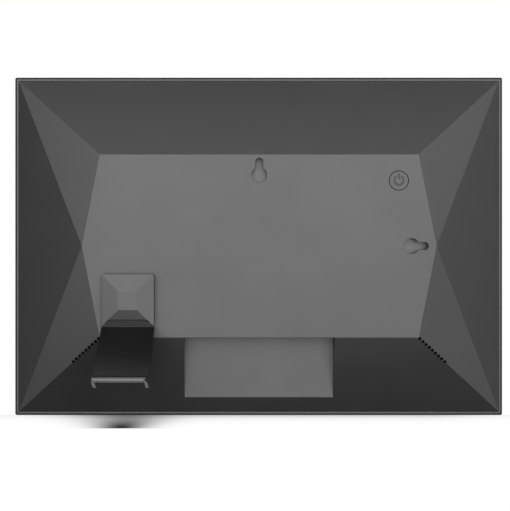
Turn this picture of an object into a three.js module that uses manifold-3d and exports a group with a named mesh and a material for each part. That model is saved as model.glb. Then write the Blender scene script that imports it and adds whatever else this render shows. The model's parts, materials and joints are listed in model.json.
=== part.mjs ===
// Digital photo frame standing on a table, seen best from behind: faceted rear cover, input recess,
// two wall-hanging keyholes, power button, and a stand leg on a swivelling block.
// Millimetres, +Z up, +Y towards the back, origin under the centre of the part on the table.
// The frame leans back: everything is built square in the group `leaning`, whose local axes are
// x across, y out of the back (0 at the rear edge of the bezel) and z up the frame (0 at mid height).
import * as THREE from 'three';
import { ConvexGeometry } from 'three/addons/geometries/ConvexGeometry.js';
import { mergeVertices } from 'three/addons/utils/BufferGeometryUtils.js';
import Module from 'manifold-3d';

const wasm = await Module();
wasm.setup();

// ---- Driving dimensions ----------------------------------------------------------------------

const seatGap = 0.3;                 // what every piece keeps to the piece that carries it
const runGap = 0.3;                  // running gap of turning and sliding pieces
const holeGap = 0.3;                 // radial gap of a screw or pin in its hole

const frameWidth = 265.5;
const frameHeight = 184;
const bezelDepth = 9;
const bezelWall = 1.4;
const bezelCornerRadius = 0.9;
const bezelEdgeChamfer = 0.5;
const leanAngle = THREE.MathUtils.degToRad(19);

const glassThickness = 1.6;
const glassSetBack = 0.1;            // glass face behind the bezel's front edge
const glassCornerRadius = 0.6;
const tapeThickness = 0.5;
const tapeWidth = 6;
const ledgeThickness = 1.3;
const gasketThickness = 0.5;
const gasketWidth = 2.5;

const sideBorder = 24.27;            // black border beside the lit area of the 16:10 display
const topBorder = 24.2;              // and above and below it
const viewMargin = 1.5;              // window in the bezel beyond the lit area
const cellBorder = 5;
const cellThickness = 1;
const lightGuideThickness = 1.6;
const lightGuideMargin = 2;
const ledStripWidth = 1;
const panelFrameWall = 1.8;
const trayThickness = 0.6;
const trayEarReach = 8;              // ear beyond the panel frame
const trayEarWidth = 9;
const trayEarRoot = 1;
const trayEarInset = 22.9;           // ear's middle from the panel's upper or lower edge
const panelBossRadius = 2.3;
const panelBossOut = 3.3;            // boss centre beyond the panel frame

const coverGap = 0.5;                // parting groove between bezel and rear cover
const coverWall = 2;
const skirtDepth = 4;
const skirtWall = 1.6;
const skirtShoulder = 1.2;
const plateHeight = 17.5;
const facetWidth = 48.05;            // plate's corners to the frame's sides
const facetHeight = 43.4;            // plate's upper and lower edge to the frame's
const plateTip = 9.5;                // plate's side tips beyond its corners

const hookCountLong = 4;
const hookCountShort = 3;
const hookLength = 9;
const hookHeight = 0.8;
const hookReach = 0.3;
const hookDepth = 3.5;               // hook's middle below the rear edge
const catchDepth = 2.35;             // catch's middle below the rear edge

const recessHalfWidth = 40.2;
const recessFloor = 3.5;

const keyholeHeadRadius = 4.2;
const keyholeSlotRadius = 2.15;
const keyholeSlotLength = 7;
const keyholePocketDepth = 4.6;
const keyholePocketMargin = 0.5;
const keyholePocketWall = 1.2;
const topKeyholeToTop = 54.2;        // keyhole's round end to the frame's top
const sideKeyholeToSide = 51.85;     // and to the frame's side

const ventCount = 9;
const ventRadius = 0.95;
const ventPitch = 2.37;
const ventStart = 1;                 // first vent from the plate's corner, along the ridge

const buttonToSide = 58.55;
const buttonToTop = 57.2;
const buttonRadius = 5;
const buttonFlange = 1.2;
const buttonFlangeThickness = 1;
const buttonStemRadius = 1.5;
const buttonStemLength = 0.9;
const powerMarkRadius = 2.8;
const powerMarkStroke = 0.8;
const powerMarkDepth = 0.25;
const switchSize = 6;
const switchHeight = 3;
const plungerRadius = 1.6;
const plungerLength = 2.4;
const plungerProud = 1;
const switchBoardLength = 24;
const switchBoardWidth = 13;
const switchBoardThickness = 1.2;
const switchScrewOut = 9;

const boardLeft = -46;
const boardRight = 40;
const boardHeight = 51;
const boardThickness = 1.6;
const boardFace = 6.6;               // rear face of the main board
const boardToWall = 1;               // board's lower edge above the recess wall
const boardScrewInset = 4;
const boardCornerRadius = 1;
const bossRadius = 2.8;
const screwRadius = 1.1;
const screwHeadRadius = 2.2;
const screwHeadHeight = 1.4;
const boardScrewLength = 7;
const shortScrewLength = 3;

const jackX = -27;
const jackWidth = 9;
const jackLength = 13;
const jackHeight = 8;
const jackBoreRadius = 3.05;
const jackBoreDepth = 9.5;
const jackPinRadius = 1;
const usbX = -8;
const usbWidth = 13.2;
const usbLength = 14;
const usbHeight = 5.8;
const usbShell = 0.5;
const usbTongue = 1.8;
const usbDepth = 11;
const cardX = 17;
const cardWidth = 27;
const cardLength = 28;
const cardHeight = 3.1;
const cardSlotWidth = 24.4;
const cardSlotHeight = 2.3;
const portClearance = 0.4;

const speakerBeside = 7.3;           // speaker's middle beyond the plate's lower corner
const speakerBelow = 1.4;
const speakerWidth = 16;
const speakerLength = 20;
const speakerFloor = 1;
const speakerHeight = 5;
const speakerCornerRadius = 2;
const speakerEar = 7;
const speakerEarWidth = 8;
const speakerEarThickness = 1.4;
const speakerConeRadius = 6.5;
const speakerConeDepth = 0.8;
const speakerCapRadius = 2.4;
const ductWall = 1.4;
const ductWidth = 5.6;
const ductOverrun = 2;

const swivelToEdge = 63.3;           // swivel axis to the lower edge, and to the edge beside it
const blockSize = 27.8;
const blockCornerRadius = 1.6;
const blockEdgeHeight = 4.6;
const blockCrown = 1.9;
const blockFlat = 10;
const hubRadius = 6.9;
const washerWidth = 4;               // washer's rim beyond the hub
const washerThickness = 1;
const springThickness = 0.7;
const retainerThickness = 1;
const swivelScrewRadius = 1.6;
const swivelScrewHeadRadius = 3.4;
const swivelScrewHeadHeight = 1.5;
const swivelScrewLength = 6;

const legOpenAngle = THREE.MathUtils.degToRad(63.5);
const hingeRise = 2.9;               // hinge axis above the plate
const hingeInset = 1.5;              // hinge axis inside the block's lower edge
const knuckleRadius = 1.9;
const knuckleHalfWidth = 10;
const pinRadius = 0.9;
const pinSideWall = 0.6;             // left of the block outside each end of the pin
const bandDrop = 0.25;               // leg's root below the block's facet
const legRootDrop = 0.5;             // root of the leg's outer face below the block's edge
const bandLift = 0.7;                // underside of the leg's root above the hinge axis
const legSlab = 1.8;
const legSideWall = 1.6;
const legRearFace = 2.2;             // face at the back of the foot
const legRearTilt = THREE.MathUtils.degToRad(10);
const legFoot = 7.6;                 // straight foot beyond the leg's slope
const legFootRoof = 1.3;
const legSole = 13;                  // sole from back to front
const channelStart = 4;              // solid root of the leg before its channel

const antennaX = 38;
const antennaToTop = 59;
const antennaLength = 40;
const antennaWidth = 8;
const antennaThickness = 0.8;
const leadRadius = 0.7;
const leadStraight = 5;              // straight end of a lead before its first bend
const cableThickness = 0.3;
const plugWidth = 6;
const plugHeight = 2.6;
const plugInset = 4;                 // lead socket's middle from the board's edge
const flatPlugLength = 4;
const flatPlugMargin = 3;            // flat socket wider than its cable
const displayCableWidth = 22;
const displayCableFlat = 15;         // part of the display cable that lies on the tray
const displayCableRise = 8;
const displayCableEnd = 7;
const touchCableWidth = 10;
const touchCableX = -31;
const touchCableTail = 5;

// Places on the main board: x, then the height above the board's lower edge; chips add their width,
// length and thickness.
const processorChip = [-5, 20.6, 15, 15, 1.4];
const memoryChip = [14, 21.6, 9, 12, 1.1];
const storageChip = [-24, 21.6, 12, 14, 1.1];
const inductorChip = [-31, 23.6, 7, 7, 3.5];
const wifiCan = [22, 43.6, 13, 14, 2.1];
const displayPlug = [0, 39.6];
const touchPlugUp = 6.6;
const speakerPlugUp = 25.6;
const switchPlug = [-31, 46.6];

// ---- Sizes that follow -----------------------------------------------------------------------

const halfWidth = frameWidth / 2;
const halfHeight = frameHeight / 2;
const coverHalfWidth = halfWidth - bezelWall - coverGap;
const coverHalfHeight = halfHeight - bezelWall - coverGap;
const plateCornerX = halfWidth - facetWidth;
const plateTipX = plateCornerX + plateTip;
const plateHalfHeight = halfHeight - facetHeight;
const plateInside = plateHeight - coverWall;
const topSlope = Math.atan(plateHeight / (coverHalfHeight - plateHalfHeight));
const sideSlope = Math.atan(plateHeight / (coverHalfWidth - plateTipX));

const glassFront = -bezelDepth + glassSetBack;
const glassBack = glassFront + glassThickness;
const tapeFront = glassBack + seatGap;
const ledgeFront = tapeFront + tapeThickness + seatGap;
const ledgeBack = ledgeFront + ledgeThickness;
const gasketFront = ledgeBack + seatGap;
const cellFront = gasketFront + gasketThickness + seatGap;
const cellBack = cellFront + cellThickness;
const guideFront = cellBack + seatGap;
const guideBack = guideFront + lightGuideThickness;
const trayFront = guideBack + seatGap;
const trayBack = trayFront + trayThickness;
const viewHalfWidth = halfWidth - sideBorder;
const viewHalfHeight = halfHeight - topBorder;
const cellHalfWidth = viewHalfWidth + cellBorder;
const cellHalfHeight = viewHalfHeight + cellBorder;
const panelHalfWidth = cellHalfWidth + seatGap + panelFrameWall;
const panelHalfHeight = cellHalfHeight + seatGap + panelFrameWall;

const recessTop = -plateHalfHeight;
const recessInside = recessTop + coverWall;
const boardBottom = recessInside + boardToWall;
const boardTop = boardBottom + boardHeight;
const boardFront = boardFace - boardThickness;
const plugY = boardFront - seatGap - plugHeight / 2;
const portFace = recessInside + seatGap;
const portFloor = boardFace + seatGap;

const topKeyholeZ = halfHeight - topKeyholeToTop;
const sideKeyholeX = -halfWidth + sideKeyholeToSide;
const speakerX = plateCornerX + speakerBeside;
const speakerZ = -plateHalfHeight - speakerBelow;

const buttonX = -halfWidth + buttonToSide;
const buttonZ = halfHeight - buttonToTop;
const buttonFlangeTop = plateInside - runGap;
const buttonStemEnd = buttonFlangeTop - buttonFlangeThickness - buttonStemLength;
const plungerTop = buttonStemEnd - seatGap;
const switchTop = plungerTop - plungerProud;
const switchBoardTop = switchTop - switchHeight - seatGap;
const switchBoardFront = switchBoardTop - switchBoardThickness;

const swivelX = halfWidth - swivelToEdge;
const swivelZ = -halfHeight + swivelToEdge;
const blockHalf = blockSize / 2;
const blockBottom = plateHeight + runGap;
const blockEdge = blockBottom + blockEdgeHeight;
const hubEnd = plateInside - washerThickness - springThickness - 3 * seatGap;
const hingeY = plateHeight + hingeRise;
const hingeZ = swivelZ - blockHalf + hingeInset;
const pinHalfLength = blockHalf - pinSideWall - seatGap;
const legRootY = blockEdge - legRootDrop;
const legRootZ = swivelZ - blockHalf;
const antennaZ = halfHeight - antennaToTop;
const antennaFace = plateInside - seatGap - antennaThickness;

// The rear lower edge of the bezel and the sole of the leg stand on the table.
const tableLevel = -halfHeight * Math.cos(leanAngle) + bezelEdgeChamfer * Math.sin(leanAngle);
const levelOf = (y, z) => z * Math.cos(leanAngle) - y * Math.sin(leanAngle);

// ---- Materials -------------------------------------------------------------------------------

const material = (color, roughness, metalness = 0) =>
  new THREE.MeshStandardMaterial({ color, roughness, metalness });
const coverPlastic = () => material(0x3a3b3d, 0.5);
const bezelPlastic = () => material(0x1b1c1e, 0.45);
const blackGlass = () => material(0x08090b, 0.08);
const foam = () => material(0x202122, 0.95);
const clearPlastic = () => material(0xc9ced2, 0.25);
const steel = () => material(0xa9adb1, 0.35, 1);
const boardGreen = () => material(0x1d4a33, 0.55);
const chipBlack = () => material(0x17181a, 0.5);
const connectorWhite = () => material(0xd8d5c8, 0.5);
const flexAmber = () => material(0x9a6a24, 0.45);
const wireBlack = () => material(0x141415, 0.6);

// ---- Solid helpers ---------------------------------------------------------------------------

function solid(geometry) {
  const bare = geometry.clone();
  for (const name of Object.keys(bare.attributes)) {
    if (name !== 'position') bare.deleteAttribute(name);
  }
  const merged = mergeVertices(bare, 1e-4);
  return new wasm.Manifold(new wasm.Mesh({
    numProp: 3,
    vertProperties: new Float32Array(merged.attributes.position.array),
    triVerts: new Uint32Array(merged.index.array),
  }));
}

function geometryOf(manifold) {
  const mesh = manifold.getMesh();
  const geometry = new THREE.BufferGeometry();
  geometry.setAttribute('position', new THREE.BufferAttribute(mesh.vertProperties, 3));
  geometry.setIndex(new THREE.BufferAttribute(mesh.triVerts, 1));
  return geometry;
}

const join = (...solids) => solids.reduce((all, next) => all.add(next));
const cut = (body, ...tools) => tools.reduce((left, tool) => left.subtract(tool), body);

function box(x0, x1, y0, y1, z0, z1) {
  const geometry = new THREE.BoxGeometry(x1 - x0, y1 - y0, z1 - z0);
  return solid(geometry.translate((x0 + x1) / 2, (y0 + y1) / 2, (z0 + z1) / 2));
}

// A round bar along y, out of the back.
function bar(radius, y0, y1, x = 0, z = 0, sides = 20) {
  const geometry = new THREE.CylinderGeometry(radius, radius, y1 - y0, sides);
  return solid(geometry.translate(x, (y0 + y1) / 2, z));
}

// A round bar along x.
function crossBar(radius, halfLength, y, z, sides = 20) {
  const geometry = new THREE.CylinderGeometry(radius, radius, 2 * halfLength, sides);
  return solid(geometry.rotateZ(Math.PI / 2).translate(0, y, z));
}

// A round bar along z, up the frame.
function upBar(radius, z0, z1, x, y, sides = 20) {
  const geometry = new THREE.CylinderGeometry(radius, radius, z1 - z0, sides);
  return solid(geometry.rotateX(Math.PI / 2).translate(x, y, (z0 + z1) / 2));
}

// An outline drawn in x and z, with thickness along y.
function sheet(shape, y0, y1, bevel = 0) {
  const geometry = new THREE.ExtrudeGeometry(shape, {
    depth: y1 - y0 - 2 * bevel,
    bevelEnabled: bevel > 0,
    bevelSegments: 1,
    bevelSize: bevel,
    bevelThickness: bevel,
    bevelOffset: -bevel,
    curveSegments: 4,
  });
  return solid(geometry.rotateX(Math.PI / 2).translate(0, y1 - bevel, 0));
}

// An outline of [y, z] points, with its thickness along x.
function profile(points, x0, x1) {
  const shape = new THREE.Shape(points.map(([y, z]) => new THREE.Vector2(y, z)));
  const geometry = new THREE.ExtrudeGeometry(shape, { depth: x1 - x0, bevelEnabled: false });
  const turn = new THREE.Matrix4().makeBasis(
    new THREE.Vector3(0, 1, 0), new THREE.Vector3(0, 0, 1), new THREE.Vector3(1, 0, 0));
  return solid(geometry.applyMatrix4(turn).translate(x0, 0, 0));
}

function roundedRectangle(halfX, halfZ, radius, x = 0, z = 0) {
  const shape = new THREE.Shape();
  shape.moveTo(x - halfX + radius, z - halfZ);
  shape.lineTo(x + halfX - radius, z - halfZ);
  shape.absarc(x + halfX - radius, z - halfZ + radius, radius, -Math.PI / 2, 0);
  shape.lineTo(x + halfX, z + halfZ - radius);
  shape.absarc(x + halfX - radius, z + halfZ - radius, radius, 0, Math.PI / 2);
  shape.lineTo(x - halfX + radius, z + halfZ);
  shape.absarc(x - halfX + radius, z + halfZ - radius, radius, Math.PI / 2, Math.PI);
  shape.lineTo(x - halfX, z - halfZ + radius);
  shape.absarc(x - halfX + radius, z - halfZ + radius, radius, Math.PI, 1.5 * Math.PI);
  return shape;
}

function ring(halfX, halfZ, width, y0, y1) {
  const inside = box(-halfX + width, halfX - width, y0 - 1, y1 + 1, -halfZ + width, halfZ - width);
  return cut(box(-halfX, halfX, y0, y1, -halfZ, halfZ), inside);
}

function washer(inner, outer, y0, y1, x = 0, z = 0) {
  return cut(bar(outer, y0, y1, x, z, 28), bar(inner, y0 - 1, y1 + 1, x, z, 28));
}

// A pan-head screw with a cross recess; its head's underside is at y = 0 and its point at +y.
function screw(shankRadius, headRadius, headHeight, length) {
  const recess = headRadius * 0.55;
  const slot = headHeight * 0.6;
  const blade = headRadius * 0.12;
  const head = cut(
    bar(headRadius, -headHeight, 0, 0, 0, 16),
    box(-recess, recess, -headHeight - 1, -headHeight + slot, -blade, blade),
    box(-blade, blade, -headHeight - 1, -headHeight + slot, -recess, recess));
  return join(head, bar(shankRadius, -0.2, length, 0, 0, 12));
}

// ---- Front: bezel, glass and display panel ----------------------------------------------------

const hookPlaces = (count, span) =>
  Array.from({ length: count }, (_, i) => ((i + 0.5) / count - 0.5) * span);

// Small ribs along all four sides; `face` is where they root, `reach` how far they stand off it.
function ribs(halfX, halfZ, y, height, reach, length) {
  const low = y - height / 2;
  const high = y + height / 2;
  const parts = [];
  for (const side of [-1, 1]) {
    for (const x of hookPlaces(hookCountLong, 2 * halfX)) {
      const z = side * halfZ;
      parts.push(box(x - length / 2, x + length / 2, low, high,
        Math.min(z, z + side * reach), Math.max(z, z + side * reach)));
    }
    for (const z of hookPlaces(hookCountShort, 2 * halfZ)) {
      const x = side * halfX;
      parts.push(box(Math.min(x, x + side * reach), Math.max(x, x + side * reach), low, high,
        z - length / 2, z + length / 2));
    }
  }
  return parts;
}

const windowHalfWidth = viewHalfWidth + viewMargin;
const windowHalfHeight = viewHalfHeight + viewMargin;
const panelBossX = panelHalfWidth + panelBossOut;
const panelBossPlaces = [[-1, -1], [1, -1], [-1, 1], [1, 1]].map(
  ([sx, sz]) => [sx * panelBossX, sz * (panelHalfHeight - trayEarInset)]);
const touchCableLow = -(panelHalfHeight + touchCableTail);

function frontBezel() {
  const inner = { x: halfWidth - bezelWall, z: halfHeight - bezelWall };
  const innerRadius = bezelCornerRadius - 0.6;
  const outer = sheet(roundedRectangle(halfWidth, halfHeight, bezelCornerRadius),
    -bezelDepth, 0, bezelEdgeChamfer);
  const front = sheet(roundedRectangle(inner.x, inner.z, innerRadius), -bezelDepth - 1, ledgeFront);
  const back = sheet(roundedRectangle(inner.x, inner.z, innerRadius), ledgeBack, 1);
  const window = box(-windowHalfWidth, windowHalfWidth, -bezelDepth, 0,
    -windowHalfHeight, windowHalfHeight);
  const slotHalf = touchCableWidth / 2 + 1;
  const cableSlot = box(touchCableX - slotHalf, touchCableX + slotHalf,
    ledgeFront - 1, ledgeBack + 1, touchCableLow - 1, touchCableLow + 1);
  const catches = ribs(inner.x + 0.2, inner.z + 0.2, -catchDepth, hookHeight,
    -(hookReach + 0.2), hookLength);
  const bosses = panelBossPlaces.map(([x, z]) =>
    bar(panelBossRadius, ledgeBack - 0.5, trayFront - seatGap, x, z));
  const holes = panelBossPlaces.map(([x, z]) =>
    bar(screwRadius + holeGap, ledgeBack + 0.2, 1, x, z, 12));
  return cut(join(cut(outer, front, back, window, cableSlot), ...catches, ...bosses), ...holes);
}

function touchGlass() {
  const gap = bezelWall + seatGap;
  return sheet(roundedRectangle(halfWidth - gap, halfHeight - gap, glassCornerRadius),
    glassFront, glassBack);
}

function glassTape() {
  const gap = bezelWall + seatGap + 0.7;
  return ring(halfWidth - gap, halfHeight - gap, tapeWidth, tapeFront, tapeFront + tapeThickness);
}

const panelGasket = () => ring(cellHalfWidth, cellHalfHeight, gasketWidth, gasketFront,
  gasketFront + gasketThickness);

const lcdCell = () => box(-cellHalfWidth, cellHalfWidth, cellFront, cellBack,
  -cellHalfHeight, cellHalfHeight);

const ledBottom = -cellHalfHeight + lightGuideMargin;

const lightGuide = () => box(-cellHalfWidth + lightGuideMargin, cellHalfWidth - lightGuideMargin,
  guideFront, guideBack, ledBottom + ledStripWidth + seatGap, cellHalfHeight - lightGuideMargin);

const ledStrip = () => box(-cellHalfWidth + lightGuideMargin, cellHalfWidth - lightGuideMargin,
  guideFront, guideBack, ledBottom, ledBottom + ledStripWidth);

// The panel's plastic frame: a wall round the cell, and a rib that the light guide lies in.
function backlightFrame() {
  const wall = ring(panelHalfWidth, panelHalfHeight, panelFrameWall, cellFront, guideBack);
  const ribWidth = panelFrameWall + lightGuideMargin;
  const rib = ring(panelHalfWidth, panelHalfHeight, ribWidth, guideFront, guideBack);
  return join(wall, rib);
}

function lcdTray() {
  const pan = sheet(roundedRectangle(panelHalfWidth, panelHalfHeight, 1), trayFront, trayBack);
  const ears = panelBossPlaces.map(([x, z]) => {
    const root = Math.sign(x) * (panelHalfWidth - trayEarRoot);
    const tip = Math.sign(x) * (panelHalfWidth + trayEarReach);
    return box(Math.min(root, tip), Math.max(root, tip), trayFront, trayBack,
      z - trayEarWidth / 2, z + trayEarWidth / 2);
  });
  const holes = panelBossPlaces.map(([x, z]) =>
    bar(screwRadius + holeGap, trayFront - 1, trayBack + 1, x, z, 12));
  return cut(join(pan, ...ears), ...holes);
}

// ---- Rear cover --------------------------------------------------------------------------------

// The faceted dome: a rectangle at the rim, rising to a flat six-sided plate. `wall` is how far
// inside the outer surface the dome lies.
function dome(wall) {
  const rimX = coverHalfWidth - wall / Math.sin(sideSlope);
  const rimZ = coverHalfHeight - wall / Math.sin(topSlope);
  const cornerX = plateCornerX - wall * Math.tan(sideSlope / 2);
  const tipX = plateTipX - wall * Math.tan(sideSlope / 2);
  const plateZ = plateHalfHeight - wall * Math.tan(topSlope / 2);
  const top = plateHeight - wall;
  const points = [];
  for (const side of [-1, 1]) {
    points.push(new THREE.Vector3(side * tipX, top, 0));
    for (const end of [-1, 1]) {
      points.push(new THREE.Vector3(side * rimX, 0, end * rimZ));
      points.push(new THREE.Vector3(side * cornerX, top, end * plateZ));
    }
  }
  return solid(new ConvexGeometry(points));
}

function coverShell() {
  const skirt = box(-coverHalfWidth, coverHalfWidth, -skirtDepth, 0,
    -coverHalfHeight, coverHalfHeight);
  const past = plateHeight;
  const recess = box(-recessHalfWidth, recessHalfWidth, recessFloor, plateHeight + past,
    -coverHalfHeight - past, recessTop);
  const outer = cut(join(dome(0), skirt), recess);
  const recessBlock = box(-recessHalfWidth - coverWall, recessHalfWidth + coverWall,
    recessFloor - coverWall, plateHeight + past, -coverHalfHeight - past, recessInside);
  const rimX = coverHalfWidth - coverWall / Math.sin(sideSlope);
  const rimZ = coverHalfHeight - coverWall / Math.sin(topSlope);
  const neck = box(-rimX, rimX, -skirtShoulder - 0.5, 0.01, -rimZ, rimZ);
  const skirtX = coverHalfWidth - skirtWall;
  const skirtZ = coverHalfHeight - skirtWall;
  const skirtRoom = box(-skirtX, skirtX, -skirtDepth - 1, -skirtShoulder, -skirtZ, skirtZ);
  return cut(outer, cut(join(dome(coverWall), neck), recessBlock), skirtRoom);
}

// A keyhole drawn with its round end at the origin and its slot along +z.
function keyholeOpening(y0, y1) {
  const slotBox = box(-keyholeSlotRadius, keyholeSlotRadius, y0, y1, 0, keyholeSlotLength);
  return join(bar(keyholeHeadRadius, y0, y1, 0, 0, 28), slotBox,
    bar(keyholeSlotRadius, y0, y1, 0, keyholeSlotLength, 20));
}

function keyholePocket(grow) {
  const half = keyholeHeadRadius + keyholePocketMargin + grow;
  const far = keyholeSlotLength + keyholeHeadRadius + grow;
  return box(-half, half, plateInside - keyholePocketDepth - grow, plateInside + grow / 2,
    -half, far);
}

const topKeyhole = (shape) => shape.translate([0, 0, topKeyholeZ]);
const sideKeyhole = (shape) => shape.rotate([0, -90, 0]).translate([sideKeyholeX, 0, 0]);

const ridge = new THREE.Vector2(coverHalfWidth - plateCornerX, coverHalfHeight - plateHalfHeight)
  .normalize();
const ventPlaces = Array.from({ length: ventCount }, (_, i) => {
  const along = ventStart + i * ventPitch;
  return [plateCornerX + ridge.x * along, -plateHalfHeight - ridge.y * along];
});

const boardScrewPlaces = [
  [boardLeft + boardScrewInset, boardBottom + boardScrewInset],
  [boardRight - boardScrewInset, boardBottom + boardScrewInset],
  [boardLeft + boardScrewInset, boardTop - boardScrewInset],
  [boardRight - boardScrewInset, boardTop - boardScrewInset],
];
const switchScrewPlaces = [-1, 1].map((side) => [buttonX + side * switchScrewOut, buttonZ]);
const speakerScrewPlaces = [-1, 1].flatMap((side) => [-1, 1].map((end) =>
  [side * speakerX, speakerZ + end * (speakerLength / 2 + speakerEar / 2)]));
const speakerEarTop = speakerFloor + speakerHeight;

function rearCover() {
  const shell = coverShell();
  const post = (x, z, from) => bar(bossRadius, from, plateHeight, x, z, 14);
  const posts = join(
    ...boardScrewPlaces.map(([x, z]) => post(x, z, boardFace + seatGap)),
    ...switchScrewPlaces.map(([x, z]) => post(x, z, switchBoardTop + seatGap)),
    ...speakerScrewPlaces.map(([x, z]) => post(x, z, speakerEarTop + seatGap)),
    topKeyhole(keyholePocket(keyholePocketWall)),
    sideKeyhole(keyholePocket(keyholePocketWall)));
  const hooks = ribs(coverHalfWidth - 0.2, coverHalfHeight - 0.2, -hookDepth, hookHeight,
    hookReach + 0.2, hookLength);
  const pilot = (x, z, from, deep) => bar(screwRadius + holeGap, from - 1, from + deep, x, z, 12);
  const through = plateHeight + 1;
  const holes = [
    ...boardScrewPlaces.map(([x, z]) => pilot(x, z, boardFace, boardScrewLength)),
    ...switchScrewPlaces.map(([x, z]) => pilot(x, z, switchBoardTop, shortScrewLength)),
    ...speakerScrewPlaces.map(([x, z]) => pilot(x, z, speakerEarTop, shortScrewLength)),
    topKeyhole(keyholePocket(0)),
    sideKeyhole(keyholePocket(0)),
    topKeyhole(keyholeOpening(plateInside - 1, through)),
    sideKeyhole(keyholeOpening(plateInside - 1, through)),
    bar(buttonRadius + runGap, plateInside - 1, through, buttonX, buttonZ, 28),
    bar(hubRadius + runGap, plateInside - 1, through, swivelX, swivelZ, 28),
    ...[-1, 1].flatMap((side) => ventPlaces.map(([x, z]) =>
      bar(ventRadius, 0, through, side * x, z, 8))),
    portHole(jackX, jackBoreRadius * 2, jackHeight / 2, true),
    portHole(usbX, usbWidth, usbHeight / 2, false),
    portHole(cardX, cardSlotWidth, cardHeight / 2, false, cardSlotHeight),
  ];
  return cut(join(shell, posts.intersect(dome(coverWall / 2)), ...hooks), ...holes);
}

// An opening through the recess's top wall in front of a socket.
function portHole(x, width, above, round, height = 2 * above) {
  const y = portFloor + above;
  const z0 = recessTop - 1;
  const z1 = recessInside + 0.5;
  if (round) return upBar(width / 2 + portClearance, z0, z1, x, y);
  const half = width / 2 + portClearance;
  const tall = height / 2 + portClearance;
  return box(x - half, x + half, y - tall, y + tall, z0, z1);
}

// ---- Electronics -------------------------------------------------------------------------------

function mainBoard() {
  const outline = roundedRectangle((boardRight - boardLeft) / 2, boardHeight / 2,
    boardCornerRadius, (boardLeft + boardRight) / 2, (boardBottom + boardTop) / 2);
  const holes = boardScrewPlaces.map(([x, z]) =>
    bar(screwRadius + holeGap, boardFront - 1, boardFace + 1, x, z, 12));
  return cut(sheet(outline, boardFront, boardFace), ...holes);
}

// Chips and sockets lie on the board's front side (side -1) or rear side (side 1), `up` above its
// lower edge.
function onBoard(side, x, up, width, length, height) {
  const y0 = side > 0 ? portFloor : boardFront - seatGap - height;
  const z = boardBottom + up;
  return box(x - width / 2, x + width / 2, y0, y0 + height, z - length / 2, z + length / 2);
}

const leadSocket = (x, up) => onBoard(-1, x, up, plugWidth, plugWidth, plugHeight);
const flatSocket = (x, up, width) =>
  onBoard(-1, x, up, width + flatPlugMargin, flatPlugLength, plugHeight);

function dcJack() {
  const y = portFloor + jackHeight / 2;
  const body = box(jackX - jackWidth / 2, jackX + jackWidth / 2, portFloor,
    portFloor + jackHeight, portFace, portFace + jackLength);
  const bore = upBar(jackBoreRadius, portFace - 1, portFace + jackBoreDepth, jackX, y);
  const pin = upBar(jackPinRadius, portFace + 1, portFace + jackBoreDepth + 1, jackX, y, 12);
  return join(cut(body, bore), pin);
}

function usbPort() {
  const half = usbWidth / 2;
  const shell = box(usbX - half, usbX + half, portFloor, portFloor + usbHeight,
    portFace, portFace + usbLength);
  const room = box(usbX - half + usbShell, usbX + half - usbShell, portFloor + usbShell,
    portFloor + usbHeight - usbShell, portFace - 1, portFace + usbDepth);
  const tongue = box(usbX - half + usbShell + 0.8, usbX + half - usbShell - 0.8,
    portFloor + usbShell + 0.4, portFloor + usbShell + 0.4 + usbTongue,
    portFace + 0.8, portFace + usbDepth + 1);
  return join(cut(shell, room), tongue);
}

function cardSlot() {
  const body = box(cardX - cardWidth / 2, cardX + cardWidth / 2, portFloor,
    portFloor + cardHeight, portFace, portFace + cardLength);
  const side = (cardHeight - cardSlotHeight) / 2;
  const room = box(cardX - cardSlotWidth / 2, cardX + cardSlotWidth / 2, portFloor + side,
    portFloor + cardHeight - side, portFace - 1, portFace + cardLength - 2);
  return cut(body, room);
}

function speaker(side) {
  const x = side * speakerX;
  const top = speakerFloor + speakerHeight;
  const outline = roundedRectangle(speakerWidth / 2, speakerLength / 2, speakerCornerRadius,
    x, speakerZ);
  const ears = [-1, 1].map((end) => {
    const z = speakerZ + end * (speakerLength / 2 + speakerEar / 2);
    const half = speakerEar / 2 + 0.5;
    return cut(
      box(x - speakerEarWidth / 2, x + speakerEarWidth / 2, top - speakerEarThickness, top,
        z - half, z + half),
      bar(screwRadius + holeGap, top - speakerEarThickness - 1, top + 1, x, z, 12));
  });
  const dish = bar(speakerConeRadius, top - speakerConeDepth, top + 1, x, speakerZ, 20);
  const cap = new THREE.SphereGeometry(speakerCapRadius, 12, 6).scale(1, 0.5, 1)
    .translate(x, top - speakerConeDepth, speakerZ);
  return join(cut(join(sheet(outline, speakerFloor, top), ...ears), dish), solid(cap));
}

// Foam duct that leads the sound from the speaker to the row of vents along the ridge.
function speakerDuct(side) {
  const length = (ventCount - 1) * ventPitch + 2 * ductOverrun;
  const middle = ventStart + (ventCount - 1) * ventPitch / 2;
  const x = plateCornerX + ridge.x * middle;
  const z = -plateHalfHeight - ridge.y * middle;
  const low = speakerFloor + speakerHeight + seatGap;
  const tube = cut(
    box(-length / 2, length / 2, low, plateHeight, -ductWidth / 2, ductWidth / 2),
    box(-length / 2 + ductWall, length / 2 - ductWall, low - 1, plateHeight + 1,
      -ductWidth / 2 + ductWall, ductWidth / 2 - ductWall));
  const turn = THREE.MathUtils.radToDeg(Math.atan2(ridge.y, ridge.x));
  const placed = tube.rotate([0, side * turn, 0]).translate([side * x, 0, z]);
  return placed.intersect(dome(coverWall + seatGap));
}

// ---- Power button --------------------------------------------------------------------------------

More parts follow.
